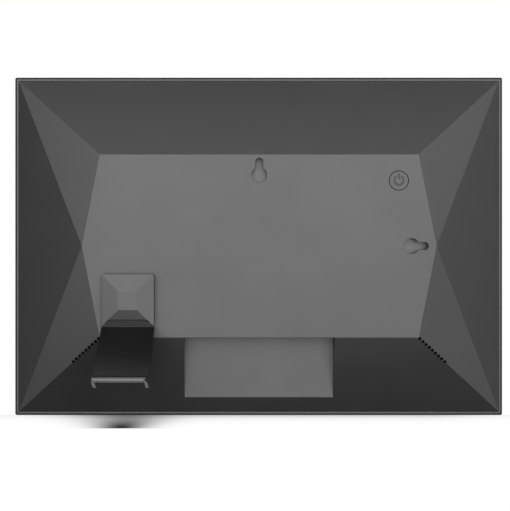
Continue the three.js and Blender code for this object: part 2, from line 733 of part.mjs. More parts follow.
function powerButton() {
  const flangeLow = buttonFlangeTop - buttonFlangeThickness;
  const cap = join(
    bar(buttonRadius, flangeLow, plateHeight, 0, 0, 32),
    bar(buttonRadius + buttonFlange, flangeLow, buttonFlangeTop, 0, 0, 28),
    bar(buttonStemRadius, buttonStemEnd, flangeLow + 0.5, 0, 0, 12));
  const floor = plateHeight - powerMarkDepth;
  const arc = cut(
    washer(powerMarkRadius - powerMarkStroke, powerMarkRadius, floor, plateHeight + 1),
    box(-1.3, 1.3, floor - 1, plateHeight + 2, 0, powerMarkRadius + 1));
  const stroke = box(-powerMarkStroke / 2, powerMarkStroke / 2, floor, plateHeight + 1,
    powerMarkStroke, powerMarkRadius + 0.7);
  return cut(cap, arc, stroke);
}

function powerSwitch() {
  const half = switchSize / 2;
  return cut(
    box(-half, half, switchTop - switchHeight, switchTop, -half, half),
    bar(plungerRadius + runGap, switchTop - switchHeight + 0.5, switchTop + 1, 0, 0, 14));
}

function switchBoard() {
  const plate = sheet(roundedRectangle(switchBoardLength / 2, switchBoardWidth / 2, 1),
    switchBoardFront, switchBoardTop);
  return cut(plate, ...[-1, 1].map((side) => bar(screwRadius + holeGap, switchBoardFront - 1,
    switchBoardTop + 1, side * switchScrewOut, 0, 12)));
}

// ---- Stand ---------------------------------------------------------------------------------------

// The block is drawn about the swivel axis: x and z from it, y as on the frame.
const slotTop = blockHalf - hingeInset - knuckleRadius - runGap;
const facetAt = (fromAxis) =>
  blockEdge + blockCrown * (blockHalf - fromAxis) / (blockHalf - blockFlat / 2);

function outlineOf(points) {
  return new THREE.Shape(points.map(([x, z]) => new THREE.Vector2(x, z)));
}

function standBlock() {
  const flat = blockFlat / 2;
  const roof = [];
  for (const sx of [-1, 1]) {
    for (const sz of [-1, 1]) {
      roof.push(new THREE.Vector3(sx * flat, blockEdge + blockCrown, sz * flat));
      roof.push(new THREE.Vector3(sx * blockHalf, blockEdge, sz * blockHalf));
      roof.push(new THREE.Vector3(sx * blockHalf, blockBottom - 1, sz * blockHalf));
    }
  }
  const body = sheet(roundedRectangle(blockHalf, blockHalf, blockCornerRadius), blockBottom,
    blockEdge + blockCrown + 1);
  const hub = bar(hubRadius, hubEnd, blockBottom + 0.5, 0, 0, 28);
  const corner = blockHalf + 1;
  const slot = outlineOf([[-slotTop, -slotTop], [-corner, -corner], [corner, -corner],
    [slotTop, -slotTop]]);
  return cut(
    join(body.intersect(solid(new ConvexGeometry(roof))), hub),
    sheet(slot, 0, blockEdge + blockCrown + 1),
    crossBar(pinRadius + holeGap, pinHalfLength + seatGap, hingeY, hingeZ - swivelZ, 12),
    bar(swivelScrewRadius + holeGap, hubEnd - 1, hubEnd + swivelScrewLength, 0, 0, 14));
}

// The leg is drawn about the hinge axis, open as it stands: [y, z] points are taken from that axis.
function standLeg() {
  const down = [Math.sin(legOpenAngle), -Math.cos(legOpenAngle)];
  const out = [Math.cos(legOpenAngle), Math.sin(legOpenAngle)];
  const root = [legRootY - hingeY, legRootZ - hingeZ];
  const at = (along, deep) => [
    root[0] + down[0] * along - out[0] * deep,
    root[1] + down[1] * along - out[1] * deep,
  ];
  const rear = [legRearFace * Math.sin(legRearTilt), -legRearFace * Math.cos(legRearTilt)];
  const fall = levelOf(legRootY, legRootZ) - tableLevel + levelOf(legFoot + rear[0], rear[1]);
  const ankle = at(fall / Math.cos(legOpenAngle - leanAngle), 0);
  const heel = [ankle[0] + legFoot, ankle[1]];
  const sole = [heel[0] + rear[0], heel[1] + rear[1]];
  const toe = [sole[0] - legSole * Math.cos(leanAngle), sole[1] - legSole * Math.sin(leanAngle)];
  const outline = profile([root, ankle, heel, sole, toe, at(0, legSlab), [bandLift, root[1]]],
    -blockHalf, blockHalf);
  const plan = roundedRectangle(blockHalf, sole[0], blockCornerRadius);
  const body = outline.intersect(solid(
    new THREE.ExtrudeGeometry(plan, { depth: 4 * fall, bevelEnabled: false, curveSegments: 4 })
      .translate(0, 0, -2 * fall)));
  const beyond = 4 * legSole;
  const inside = blockHalf - legSideWall;
  const roof = ankle[1] - legFootRoof;
  const bend = (roof - root[1] + out[1] * legSlab) / down[1];
  const channel = profile([at(channelStart, legSlab), at(bend, legSlab),
    [heel[0] - legSideWall, roof], [heel[0] - legSideWall, -beyond], at(channelStart, beyond)],
    -inside, inside);

  const fromAxis = slotTop + runGap;
  const bandTop = swivelZ - hingeZ - fromAxis;
  const band = profile([[bandLift, bandTop], [facetAt(fromAxis) - bandDrop - hingeY, bandTop], root,
    at(0.5, legSlab / 2), [bandLift, root[1]]], -blockHalf, blockHalf);
  const side = runGap * Math.SQRT2;
  const corner = blockHalf + 1;
  const lift = swivelZ - hingeZ;
  const trim = outlineOf([[-fromAxis + side, lift - fromAxis], [-corner + side, lift - corner],
    [corner - side, lift - corner], [fromAxis - side, lift - fromAxis]]);
  const knuckle = crossBar(knuckleRadius, knuckleHalfWidth, 0, 0, 20);
  return cut(
    join(cut(body, channel), band.intersect(sheet(trim, -10, 10)), knuckle),
    crossBar(pinRadius + holeGap, blockHalf + 1, 0, 0, 12));
}

// ---- Leads and cables ----------------------------------------------------------------------------

function lead(points, steps) {
  const path = new THREE.CatmullRomCurve3(points.map((p) => new THREE.Vector3(...p)));
  const section = new THREE.Shape();
  section.absarc(0, 0, leadRadius, 0, 2 * Math.PI);
  return solid(new THREE.ExtrudeGeometry(section, {
    steps, curveSegments: 4, bevelEnabled: false, extrudePath: path,
  }));
}

// A flat cable from x0 to x1 that follows [y, z] points along its middle.
function flatCable(points, x0, x1) {
  const path = points.map(([y, z]) => new THREE.Vector2(y, z));
  const normals = path.slice(1).map((p, i) => {
    const along = p.clone().sub(path[i]).normalize();
    return new THREE.Vector2(-along.y, along.x);
  });
  const shift = path.map((_, i) => {
    const before = normals[Math.max(i - 1, 0)];
    const after = normals[Math.min(i, normals.length - 1)];
    const mean = before.clone().add(after).normalize();
    return mean.multiplyScalar(cableThickness / 2 / mean.dot(after));
  });
  const one = path.map((p, i) => p.clone().add(shift[i]).toArray());
  const other = path.map((p, i) => p.clone().sub(shift[i]).toArray()).reverse();
  return profile([...one, ...other], x0, x1);
}

function speakerLead(side) {
  const edge = (side > 0 ? boardRight : -boardLeft) - plugInset + plugWidth / 2 + seatGap;
  const start = speakerX - speakerWidth / 2 - seatGap;
  const plugZ = boardBottom + speakerPlugUp;
  const points = [
    [start, speakerZ],
    [start - 2 * leadStraight, speakerZ + leadStraight / 2],
    [edge + 3 * leadStraight, plugZ - 2 * leadStraight],
    [edge + leadStraight, plugZ],
    [edge, plugZ],
  ].map(([x, z]) => [side * x, plugY, z]);
  return lead(points, 12);
}

function switchLead() {
  const x = buttonX + switchBoardLength / 2 + seatGap;
  const y = (switchBoardTop + switchBoardFront) / 2;
  const plugX = switchPlug[0];
  const end = boardBottom + switchPlug[1] + plugWidth / 2 + seatGap;
  return lead([[x, y, buttonZ], [x + leadStraight, y, buttonZ - leadStraight / 3],
    [(x + plugX) / 2, (y + plugY) / 2, (buttonZ + end) / 2],
    [plugX, plugY, end + leadStraight], [plugX, plugY, end]], 12);
}

function antennaLead() {
  const [x, up, , length, height] = wifiCan;
  const start = [x, portFloor + height / 2, boardBottom + up + length / 2 + seatGap];
  const end = [antennaX, antennaFace - seatGap - leadRadius - 0.1, antennaZ];
  const middle = start.map((value, axis) => (value + end[axis]) / 2);
  return lead([start, [start[0], start[1], start[2] + leadStraight], middle,
    [end[0], end[1], end[2] - leadStraight], end], 12);
}

function touchCable() {
  const under = trayBack + 2 * seatGap;
  const glassSide = tapeFront + cableThickness / 2;
  const end = boardBottom + touchPlugUp - flatPlugLength / 2 - seatGap;
  return flatCable([[glassSide, touchCableLow + touchCableTail], [glassSide, touchCableLow],
    [under, touchCableLow], [under, recessInside + 2 * seatGap], [plugY, boardBottom + boardToWall],
    [plugY, end]], touchCableX - touchCableWidth / 2, touchCableX + touchCableWidth / 2);
}

function displayCable() {
  const under = trayBack + seatGap + cableThickness / 2;
  const [x, up] = displayPlug;
  const end = boardBottom + up + flatPlugLength / 2 + seatGap;
  const bend = end + displayCableEnd;
  const flat = bend + displayCableRise;
  return flatCable([[under, flat + displayCableFlat], [under, flat], [plugY, bend], [plugY, end]],
    x - displayCableWidth / 2, x + displayCableWidth / 2);
}

// ---- Assembly ------------------------------------------------------------------------------------

const leaning = new THREE.Group();
leaning.name = 'leaning';
leaning.rotation.x = -leanAngle;

function add(group, name, manifold, look, place = [0, 0, 0], turnX = 0) {
  const mesh = new THREE.Mesh(geometryOf(manifold), look);
  mesh.name = name;
  mesh.position.set(...place);
  mesh.rotation.x = turnX;
  group.add(mesh);
  return mesh;
}

add(leaning, 'front_bezel', frontBezel(), bezelPlastic());
add(leaning, 'touch_glass', touchGlass(), blackGlass());
add(leaning, 'glass_tape', glassTape(), foam());
add(leaning, 'panel_gasket', panelGasket(), foam());
add(leaning, 'lcd_cell', lcdCell(), blackGlass());
add(leaning, 'light_guide', lightGuide(), clearPlastic());
add(leaning, 'led_strip', ledStrip(), connectorWhite());
add(leaning, 'backlight_frame', backlightFrame(), connectorWhite());
add(leaning, 'lcd_tray', lcdTray(), steel());
panelBossPlaces.forEach(([x, z], i) => {
  const fastener = screw(screwRadius, screwHeadRadius, screwHeadHeight, shortScrewLength);
  add(leaning, `lcd_screw_${i + 1}`, fastener, steel(), [x, trayBack + seatGap, z], Math.PI);
});

add(leaning, 'rear_cover', rearCover(), coverPlastic());
add(leaning, 'main_board', mainBoard(), boardGreen());
boardScrewPlaces.forEach(([x, z], i) => {
  const fastener = screw(screwRadius, screwHeadRadius, screwHeadHeight, boardScrewLength);
  add(leaning, `board_screw_${i + 1}`, fastener, steel(), [x, boardFront - seatGap, z]);
});
add(leaning, 'processor', onBoard(-1, ...processorChip), chipBlack());
add(leaning, 'memory_chip', onBoard(-1, ...memoryChip), chipBlack());
add(leaning, 'storage_chip', onBoard(-1, ...storageChip), chipBlack());
add(leaning, 'wifi_module', onBoard(1, ...wifiCan), steel());
add(leaning, 'power_inductor', onBoard(1, ...inductorChip), chipBlack());
add(leaning, 'display_connector', flatSocket(...displayPlug, displayCableWidth), connectorWhite());
add(leaning, 'display_cable', displayCable(), flexAmber());
add(leaning, 'touch_connector', flatSocket(touchCableX, touchPlugUp, touchCableWidth),
  connectorWhite());
add(leaning, 'touch_cable', touchCable(), flexAmber());
add(leaning, 'dc_jack', dcJack(), chipBlack());
add(leaning, 'usb_port', usbPort(), steel());
add(leaning, 'sd_card_slot', cardSlot(), steel());

for (const [word, side] of [['left', 1], ['right', -1]]) {
  const plugX = side > 0 ? boardRight - plugInset : boardLeft + plugInset;
  add(leaning, `speaker_${word}`, speaker(side), chipBlack());
  add(leaning, `speaker_duct_${word}`, speakerDuct(side), foam());
  add(leaning, `speaker_lead_${word}`, speakerLead(side), wireBlack());
  add(leaning, `speaker_connector_${word}`, leadSocket(plugX, speakerPlugUp), connectorWhite());
}
speakerScrewPlaces.forEach(([x, z], i) => {
  const fastener = screw(screwRadius, screwHeadRadius, screwHeadHeight, shortScrewLength);
  add(leaning, `speaker_screw_${i + 1}`, fastener, steel(),
    [x, speakerEarTop - speakerEarThickness - seatGap, z]);
});

const atButton = [buttonX, 0, buttonZ];
add(leaning, 'power_button', powerButton(), coverPlastic(), atButton);
add(leaning, 'switch_plunger', bar(plungerRadius, plungerTop - plungerLength, plungerTop, 0, 0, 14),
  chipBlack(), atButton);
add(leaning, 'power_switch', powerSwitch(), steel(), atButton);
add(leaning, 'switch_board', switchBoard(), boardGreen(), atButton);
add(leaning, 'switch_lead', switchLead(), wireBlack());
add(leaning, 'switch_connector', leadSocket(...switchPlug), connectorWhite());
switchScrewPlaces.forEach(([x, z], i) => {
  const fastener = screw(screwRadius, screwHeadRadius, screwHeadHeight, shortScrewLength);
  add(leaning, `switch_screw_${i + 1}`, fastener, steel(), [x, switchBoardFront - seatGap, z]);
});
add(leaning, 'wifi_antenna', box(antennaX - antennaLength / 2, antennaX + antennaLength / 2,
  antennaFace, antennaFace + antennaThickness, antennaZ - antennaWidth / 2,
  antennaZ + antennaWidth / 2), flexAmber());
add(leaning, 'antenna_lead', antennaLead(), wireBlack());

const stand = new THREE.Group();
stand.position.set(swivelX, 0, swivelZ);
leaning.add(stand);
const washerTop = plateInside - seatGap;
const springTop = washerTop - washerThickness - seatGap;
const retainerTop = hubEnd - seatGap;
add(stand, 'stand_block', standBlock(), coverPlastic());
add(stand, 'swivel_washer', washer(hubRadius + holeGap, hubRadius + washerWidth,
  washerTop - washerThickness, washerTop), steel());
add(stand, 'swivel_spring', washer(hubRadius + holeGap, hubRadius + washerWidth - 0.6,
  springTop - springThickness, springTop), steel());
add(stand, 'swivel_retainer', washer(swivelScrewRadius + holeGap, hubRadius + washerWidth,
  retainerTop - retainerThickness, retainerTop), steel());
add(stand, 'swivel_screw', screw(swivelScrewRadius, swivelScrewHeadRadius, swivelScrewHeadHeight,
  swivelScrewLength), steel(), [0, retainerTop - retainerThickness - seatGap, 0]);

const leg = new THREE.Group();
leg.position.set(0, hingeY, hingeZ - swivelZ);
stand.add(leg);
add(leg, 'stand_leg', standLeg(), coverPlastic());
add(leg, 'leg_hinge_pin', crossBar(pinRadius, pinHalfLength, 0, 0, 12), steel());

// Stand the part on the table and centre it from front to back.
const model = new THREE.Group();
model.name = 'digital_photo_frame';
model.add(leaning);
leaning.updateMatrixWorld(true);
const reach = new THREE.Box3().setFromObject(leaning, true);
leaning.position.set(0, -(reach.min.y + reach.max.y) / 2, -tableLevel);

export default model;
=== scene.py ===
"""Looks of a ten-inch digital photo frame that leans on its stand leg, shown from behind.

Everything is in metres. The frame leans back, so places on it are given in its own directions:
x across, `out` from the rear edge of the bezel, `rise` from the middle of its height.
"""
import json
import math

import bmesh
import bpy
from mathutils import Matrix, Vector


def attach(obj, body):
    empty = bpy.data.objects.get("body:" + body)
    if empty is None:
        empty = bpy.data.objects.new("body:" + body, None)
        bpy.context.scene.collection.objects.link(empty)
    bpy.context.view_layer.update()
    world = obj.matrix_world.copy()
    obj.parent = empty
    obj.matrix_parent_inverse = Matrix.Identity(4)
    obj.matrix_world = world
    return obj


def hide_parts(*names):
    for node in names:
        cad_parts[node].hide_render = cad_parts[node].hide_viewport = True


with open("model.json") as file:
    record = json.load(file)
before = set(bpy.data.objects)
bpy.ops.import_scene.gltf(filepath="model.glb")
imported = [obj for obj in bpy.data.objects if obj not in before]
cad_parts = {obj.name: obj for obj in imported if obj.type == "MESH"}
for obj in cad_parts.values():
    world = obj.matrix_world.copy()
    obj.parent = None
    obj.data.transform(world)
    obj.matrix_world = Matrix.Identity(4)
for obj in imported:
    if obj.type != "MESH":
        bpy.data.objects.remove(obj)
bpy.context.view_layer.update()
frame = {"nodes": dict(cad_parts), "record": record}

# ---- Places on the leaning frame ---------------------------------------------------------------

MOUNTS = {mount["name"]: mount for mount in frame["record"]["mounts"]}
PLATE_OUT = 0.0175                   # the back plate, out from the bezel's rear edge
HALF_WIDTH = 0.13275                 # bezel
HALF_HEIGHT = 0.092
BEZEL_ROUND = 0.0009                 # radius along its outer rear edge
BACK = Vector(MOUNTS["back_plate"]["axis"]).normalized()
ACROSS = Vector((1, 0, 0))
UP = ACROSS.cross(BACK)
CENTRE = Vector(MOUNTS["back_plate"]["pos_m"]) - BACK * PLATE_OUT


def place(x, out, rise):
    """A point in the row frame from its place on the leaning frame."""
    return CENTRE + ACROSS * x + BACK * out + UP * rise


def add_object(name, data):
    made = bpy.data.objects.new(name, data)
    bpy.context.collection.objects.link(made)
    return made


# ---- Camera and light --------------------------------------------------------------------------

CAMERA_DISTANCE = 0.700              # from the bezel's rear edge
CAMERA_LENS = 90.52
CAMERA_X = 0.0112
CAMERA_RISE = -0.0050
CAMERA_SHIFT_X = 0.033


def add_camera():
    data = bpy.data.cameras.new("camera")
    data.lens = CAMERA_LENS
    data.sensor_width = 36
    data.shift_x = CAMERA_SHIFT_X
    data.clip_start = 0.01
    camera = add_object("camera", data)
    spot = Matrix.Translation(place(CAMERA_X, CAMERA_DISTANCE, CAMERA_RISE))
    turn = Matrix((-ACROSS, UP, BACK)).transposed()
    camera.matrix_world = spot @ turn.to_4x4()
    bpy.context.scene.camera = camera


def add_lamp(name, where, aim, width, height, watts):
    data = bpy.data.lights.new(name, "AREA")
    data.shape = "RECTANGLE"
    data.size = width
    data.size_y = height
    data.energy = watts
    lamp = add_object(name, data)
    lamp.location = where
    lamp.rotation_euler = (Vector(aim) - Vector(where)).to_track_quat("-Z", "Y").to_euler()
    lamp.visible_camera = False


def from_back(tilt, turn, distance):
    """A place seen from the back plate: `tilt` degrees above its normal, `turn` towards +x."""
    tilt, turn = math.radians(tilt), math.radians(turn)
    flat = BACK * math.cos(turn) + ACROSS * math.sin(turn)
    return CENTRE + (flat * math.cos(tilt) + UP * math.sin(tilt)) * distance


def light_the_set():
    """Each lamp's name, place, aim, width, height and watts."""
    middle = (0, 0, 0.08)
    add_lamp("main_softbox", from_back(13.2, 4.6, 0.85), CENTRE, 1.43, 0.97, 14.15)
    add_lamp("side_strip", from_back(-12, -52, 1.0), CENTRE, 0.12, 1.0, 1.36)
    add_lamp("shoulder_lamp", from_back(25, -50, 1.0), CENTRE, 0.3, 0.4, 0.87)
    add_lamp("corner_lamp", CENTRE + Vector((-0.42, 0.90, 0.02)), CENTRE, 0.2, 0.2, 0.32)
    add_lamp("facet_glow", (-0.04, 0.045, -0.035), (-0.04, -0.0034, 0.0376), 0.20, 0.02, 0.0137)
    add_lamp("table_glow", (0.08, -0.50, -0.16), (0.08, 0.04, 0.0), 0.5, 0.2, 0.45)
    add_lamp("front_softbox", (-0.42, -1.05, 0.86), middle, 0.9, 0.7, 4.0)
    add_lamp("front_card", (-0.95, -0.88, 0.24), middle, 0.7, 0.6, 1.5)
    add_lamp("overhead_softbox", (0.10, -0.24, 1.20), middle, 1.2, 0.6, 8.0)


# ---- Shader arithmetic -------------------------------------------------------------------------

class Wire:
    """An output socket that takes part in Python arithmetic; each step adds a Math node.

    `<` and `>` make masks of 0 and 1; `&` and `|` are the overlap and the union of two masks.
    """

    def __init__(self, tree, socket):
        self.tree = tree
        self.socket = socket

    def math(self, operation, *values):
        return self.tree.node("ShaderNodeMath", {"operation": operation}, *values)

    def __add__(self, other):
        return self.math("ADD", self, other)

    def __radd__(self, other):
        return self.math("ADD", other, self)

    def __sub__(self, other):
        return self.math("SUBTRACT", self, other)

    def __rsub__(self, other):
        return self.math("SUBTRACT", other, self)

    def __mul__(self, other):
        return self.math("MULTIPLY", self, other)

    def __rmul__(self, other):
        return self.math("MULTIPLY", other, self)

    def __truediv__(self, other):
        return self.math("DIVIDE", self, other)

    def __rtruediv__(self, other):
        return self.math("DIVIDE", other, self)

    def __gt__(self, other):
        return self.math("GREATER_THAN", self, other)

    def __lt__(self, other):
        return self.math("LESS_THAN", self, other)

    def __or__(self, other):
        return self.math("MAXIMUM", self, other)

    def __and__(self, other):
        return self.math("MINIMUM", self, other)

    def exponent(self):
        return self.math("EXPONENT", self)

    def fraction(self):
        return self.math("FRACT", self)

    def __abs__(self):
        return self.math("ABSOLUTE", self)


class Tree:
    """A node tree, and the nodes that the finishes and the world are made of."""

    def __init__(self, tree):
        self.nodes = tree.nodes
        self.links = tree.links

    def feed(self, socket, value):
        if isinstance(value, Wire):
            self.links.new(value.socket, socket)
        else:
            socket.default_value = value

    def node(self, kind, settings=None, *values, output=None, **sockets):
        """Adds a node: its settings, then what feeds its sockets, in order or by name."""
        made = self.nodes.new(kind)
        for name, value in (settings or {}).items():
            setattr(made, name, value)
        for socket, value in zip((socket for socket in made.inputs if socket.enabled), values):
            self.feed(socket, value)
        for name, value in sockets.items():
            self.feed(made.inputs[name.replace("_", " ")], value)
        if output:
            return Wire(self, made.outputs[output])
        return Wire(self, next(socket for socket in made.outputs if socket.enabled))

    def span(self, *ramp):
        """A value, its low and high limits, and what it becomes at each of them."""
        return self.node("ShaderNodeMapRange", None, *ramp)

    def blend(self, factor, first, second):
        """Mixes two colours."""
        return self.node("ShaderNodeMix", {"data_type": "RGBA"}, factor, first, second)

    def coordinates(self):
        """Places in the row frame, which ride along when a joint moves the piece."""
        return self.node("ShaderNodeTexCoord", output="Object")

    def coordinate(self, axis):
        return self.node("ShaderNodeSeparateXYZ", output=axis, Vector=self.coordinates())

    def along(self, direction):
        """Distance from the middle of the bezel's rear edge in one direction."""
        offset = self.node("ShaderNodeVectorMath", {"operation": "SUBTRACT"},
                           self.coordinates(), tuple(CENTRE))
        return self.node("ShaderNodeVectorMath", {"operation": "DOT_PRODUCT"},
                         offset, tuple(direction))

    def stretched(self, x, out, rise):
        """Coordinates scaled along the frame's own directions."""
        return self.node("ShaderNodeCombineXYZ", X=self.along(ACROSS) * x,
                         Y=self.along(BACK) * out, Z=self.along(UP) * rise)

    def noise(self, scale, detail=2.0, roughness=0.5, vector=None):
        return self.node("ShaderNodeTexNoise", Vector=vector or self.coordinates(), Scale=scale,
                         Detail=detail, Roughness=roughness)

    def grains(self, scale):
        return self.node("ShaderNodeTexVoronoi", {"feature": "SMOOTH_F1"},
                         Vector=self.coordinates(), Scale=scale)


class Finish(Tree):
    """One material and its shader."""

    def __init__(self, name):
        self.material = bpy.data.materials.new(name)
        self.material.use_nodes = True
        super().__init__(self.material.node_tree)
        self.shader = self.nodes["Principled BSDF"]

    def set(self, **values):
        for name, value in values.items():
            self.feed(self.shader.inputs[name.replace("_", " ")], value)

    def fed(self, name):
        """What already feeds one of the shader's sockets."""
        return Wire(self, self.shader.inputs[name].links[0].from_socket)

    def bump(self, height, distance, edge=0.0):
        """Raises a texture; `edge` also rounds sharp edges to that radius."""
        sockets = {"Height": height, "Distance": distance}
        if edge:
            sockets["Normal"] = self.node("ShaderNodeBevel", {"samples": 6}, Radius=edge)
        self.set(Normal=self.node("ShaderNodeBump", **sockets))


def between(value, low, high):
    """1 where a wire's value lies between two limits."""
    return (value > low) & (value < high)


def stripes(distance, pitch, share):
    """1 on lines that cover `share` of each pitch."""
    return (distance / pitch).fraction() < share


def shade(colour, factor):
    return tuple(channel * factor for channel in colour[:3]) + (1.0,)


# ---- Finishes ----------------------------------------------------------------------------------

SHADED_RIM = 0.00105                   # width of the painted shade and rougher finish on the bezel's rear round

PLASTIC_ROUGHNESS = 0.46             # cover, bezel and button
PLASTIC_SPECULAR = 0.85
MOULD_GRAIN = 0.000006
MOULD_EDGE = 0.00022                 # radius that sharp edges are shaded with
BEZEL_EDGE = 0.0001

POCKET_HALF_WIDTH = 0.0047           # floors of the keyhole pockets
POCKET_HALF_LENGTH = 0.0082
POCKET_DEPTH = 0.0022
TOP_POCKET_RISE = 0.0410
SIDE_POCKET_ACROSS = -0.0841
POCKET_SMOOTHER = 0.09

KNUCKLE_HEIGHT = 0.0390              # the leg's knuckle and foot, above the table
HEEL_HEIGHT = 0.00152                # painted highlight band on the rear of the foot
HEEL_ENDS = (0.05729, 0.08280)
SOLE_HEIGHT = 0.00025                # painted highlight strips at the two ends of the sole
SOLE_LEFT = (0.05605, 0.05725)
SOLE_RIGHT = 0.08225

MARK_FLOOR = (PLATE_OUT - 0.0004, PLATE_OUT - 0.0001)        # where the power mark is sunk; its floor gets painted shade
DISPLAY_HALF_WIDTH = 0.10848
DISPLAY_HALF_HEIGHT = 0.0678
CLOTH_PITCH = 0.00022
THREAD_SHARE = 0.55
DOT_PITCH = 0.003
PAD_PITCH = 0.00254


def moulded_plastic(name, colour, roughness=PLASTIC_ROUGHNESS, specular=PLASTIC_SPECULAR,
                    edge=MOULD_EDGE):
    """Injection-moulded plastic with a spark-eroded texture and faint handling marks."""
    finish = Finish(name)
    cloudy = finish.noise(9.0, detail=3.0)
    fine = finish.noise(1900.0, detail=3.0, roughness=0.6)
    smudge = finish.noise(38.0, detail=4.0, roughness=0.6)
    tone = finish.span(cloudy * 0.7 + fine * 0.3, 0.3, 0.7, 0.0, 1.0)
    finish.set(
        Base_Color=finish.blend(tone, shade(colour, 0.93), shade(colour, 1.07)),
        Roughness=finish.span(smudge, 0.35, 0.7, roughness - 0.02, roughness + 0.02),
        IOR=1.5,
        Specular_IOR_Level=specular,
    )
    finish.bump(fine * 0.6 + finish.grains(2600.0) * 0.4, distance=MOULD_GRAIN, edge=edge)
    return finish


COVER_COLOUR = (0.0130, 0.0131, 0.0133)
BEZEL_COLOUR = (0.0120, 0.0121, 0.0124)


def cover_plastic():
    """Textured plastic, smoother on the floors of the two keyhole pockets."""
    finish = moulded_plastic("cover_plastic", COVER_COLOUR)
    across, rise = finish.along(ACROSS), finish.along(UP)
    top = (abs(across) < POCKET_HALF_WIDTH) \
        & (abs(rise - TOP_POCKET_RISE) < POCKET_HALF_LENGTH)
    side = (abs(rise) < POCKET_HALF_WIDTH) \
        & (abs(across - SIDE_POCKET_ACROSS) < POCKET_HALF_LENGTH)
    pocket = (top | side) & (finish.along(BACK) < PLATE_OUT - POCKET_DEPTH)
    finish.set(Roughness=finish.fed("Roughness") - pocket * POCKET_SMOOTHER)
    return finish.material


def bezel_plastic():
    """Cover plastic with a rougher round along the outer rear edge, darkened there by painted
    shade.
    """
    finish = moulded_plastic("bezel_plastic", BEZEL_COLOUR, edge=BEZEL_EDGE)
    colour, rough = finish.fed("Base Color"), finish.fed("Roughness")
    outside = (abs(finish.along(ACROSS)) > HALF_WIDTH - SHADED_RIM) \
        | (abs(finish.along(UP)) > HALF_HEIGHT - SHADED_RIM)
    shaded_round = outside & (finish.along(BACK) > -BEZEL_ROUND)
    # painted shade: the outer rear round is darkened to a tenth of the bezel's colour
    finish.set(Base_Color=finish.blend(shaded_round, colour, shade(BEZEL_COLOUR, 0.1)),
               Roughness=rough + shaded_round * 0.54)
    return finish.material


def leg_plastic():
    """Cover plastic darkened by painted shade, with painted light on the knuckle and painted
    highlights on the rear of the foot and the ends of its sole.
    """
    # painted shade: the leg is the cover's plastic at a fraction of its colour
    finish = moulded_plastic("leg_plastic", shade(COVER_COLOUR, 0.28), specular=0.42)
    x, height = finish.coordinate("X"), finish.coordinate("Z")
    # painted highlights: the rear of the foot and the ends of its sole are made much paler
    heel = between(height, SOLE_HEIGHT, HEEL_HEIGHT) & between(x, *HEEL_ENDS)
    sole = (height < SOLE_HEIGHT) & (between(x, *SOLE_LEFT) | (x > SOLE_RIGHT))
    # painted light: the knuckle above KNUCKLE_HEIGHT is paler than the cover
    colour = finish.blend(height > KNUCKLE_HEIGHT, finish.fed("Base Color"),
                          shade(COVER_COLOUR, 1.4))
    finish.set(Base_Color=finish.blend(heel | sole, colour, shade(COVER_COLOUR, 7.3)))
    return finish.material


def button_plastic():
    """Cover plastic with painted shade and a rougher finish on the floor of the engraved power
    mark.
    """
    finish = moulded_plastic("button_plastic", COVER_COLOUR)
    colour, rough = finish.fed("Base Color"), finish.fed("Roughness")
    sunk = between(finish.along(BACK), *MARK_FLOOR)
    # painted shade: the mark's floor at half the cover's colour
    finish.set(Base_Color=finish.blend(sunk, colour, shade(COVER_COLOUR, 0.5)),
               Roughness=rough + sunk * 0.09)
    return finish.material


def black_glass():
    """Cover glass with a printed black border round a dark display."""
    finish = Finish("black_glass")
    display = (abs(finish.along(ACROSS)) < DISPLAY_HALF_WIDTH) \
        & (abs(finish.along(UP)) < DISPLAY_HALF_HEIGHT)
    smudge = finish.noise(26.0, detail=5.0, roughness=0.65)
    finish.set(Base_Color=finish.blend(display, (0.0035, 0.0035, 0.0038, 1),
                                       (0.0075, 0.0085, 0.0105, 1)),
               Roughness=finish.span(smudge, 0.4, 0.75, 0.035, 0.085), IOR=1.52)
    return finish.material


def foam():
    finish = Finish("foam")
    cells = finish.grains(1500.0)
    finish.set(Base_Color=finish.blend(cells, (0.006, 0.006, 0.006, 1), (0.022, 0.022, 0.023, 1)),
               Roughness=0.95)
    finish.bump(cells, distance=0.0002)
    return finish.material


def shade_sheet_cloth():
    """A near-black sheet in a plain weave that stands in for the shade inside the vents."""
    finish = Finish("shade_sheet_cloth")
    warp = stripes(finish.along(ACROSS), CLOTH_PITCH, THREAD_SHARE)
    weft = stripes(finish.along(UP), CLOTH_PITCH, THREAD_SHARE)
    thread = warp * 0.5 + weft * 0.5
    finish.set(Base_Color=finish.blend(thread, (0.0006, 0.0006, 0.0006, 1),
                                       (0.0022, 0.0022, 0.0022, 1)),
               Roughness=0.95, Specular_IOR_Level=0.08)
    finish.bump(thread, distance=0.00003)
    return finish.material


def light_guide():
    """Clear acrylic with a printed dot pattern that spreads the light."""
    finish = Finish("light_guide")
    u = (finish.along(ACROSS) / DOT_PITCH).fraction() - 0.5
    v = (finish.along(UP) / DOT_PITCH).fraction() - 0.5
    dots = (u * u + v * v) < finish.span(finish.along(UP), -0.07, 0.07, 0.02, 0.14)
    finish.set(Base_Color=finish.blend(dots, (0.72, 0.78, 0.80, 1), (0.92, 0.92, 0.90, 1)),
               Roughness=finish.span(dots, 0, 1, 0.08, 0.6), Transmission_Weight=0.6, IOR=1.49)
    return finish.material


def white_plastic():
    return moulded_plastic("white_plastic", (0.62, 0.61, 0.56), 0.42, specular=0.5).material


def steel():
    finish = Finish("steel")
    brushed = finish.noise(1.0, detail=4.0, roughness=0.65,
                           vector=finish.stretched(160.0, 900.0, 2600.0))
    stain = finish.noise(55.0, detail=4.0, roughness=0.6)
    tone = finish.span(stain, 0.35, 0.7, 0.0, 1.0)
    finish.set(Base_Color=finish.blend(tone, (0.50, 0.51, 0.52, 1), (0.60, 0.60, 0.60, 1)),
               Metallic=1.0, Roughness=finish.span(brushed, 0.3, 0.7, 0.24, 0.42))
    finish.bump(brushed, distance=0.000006)
    return finish.material


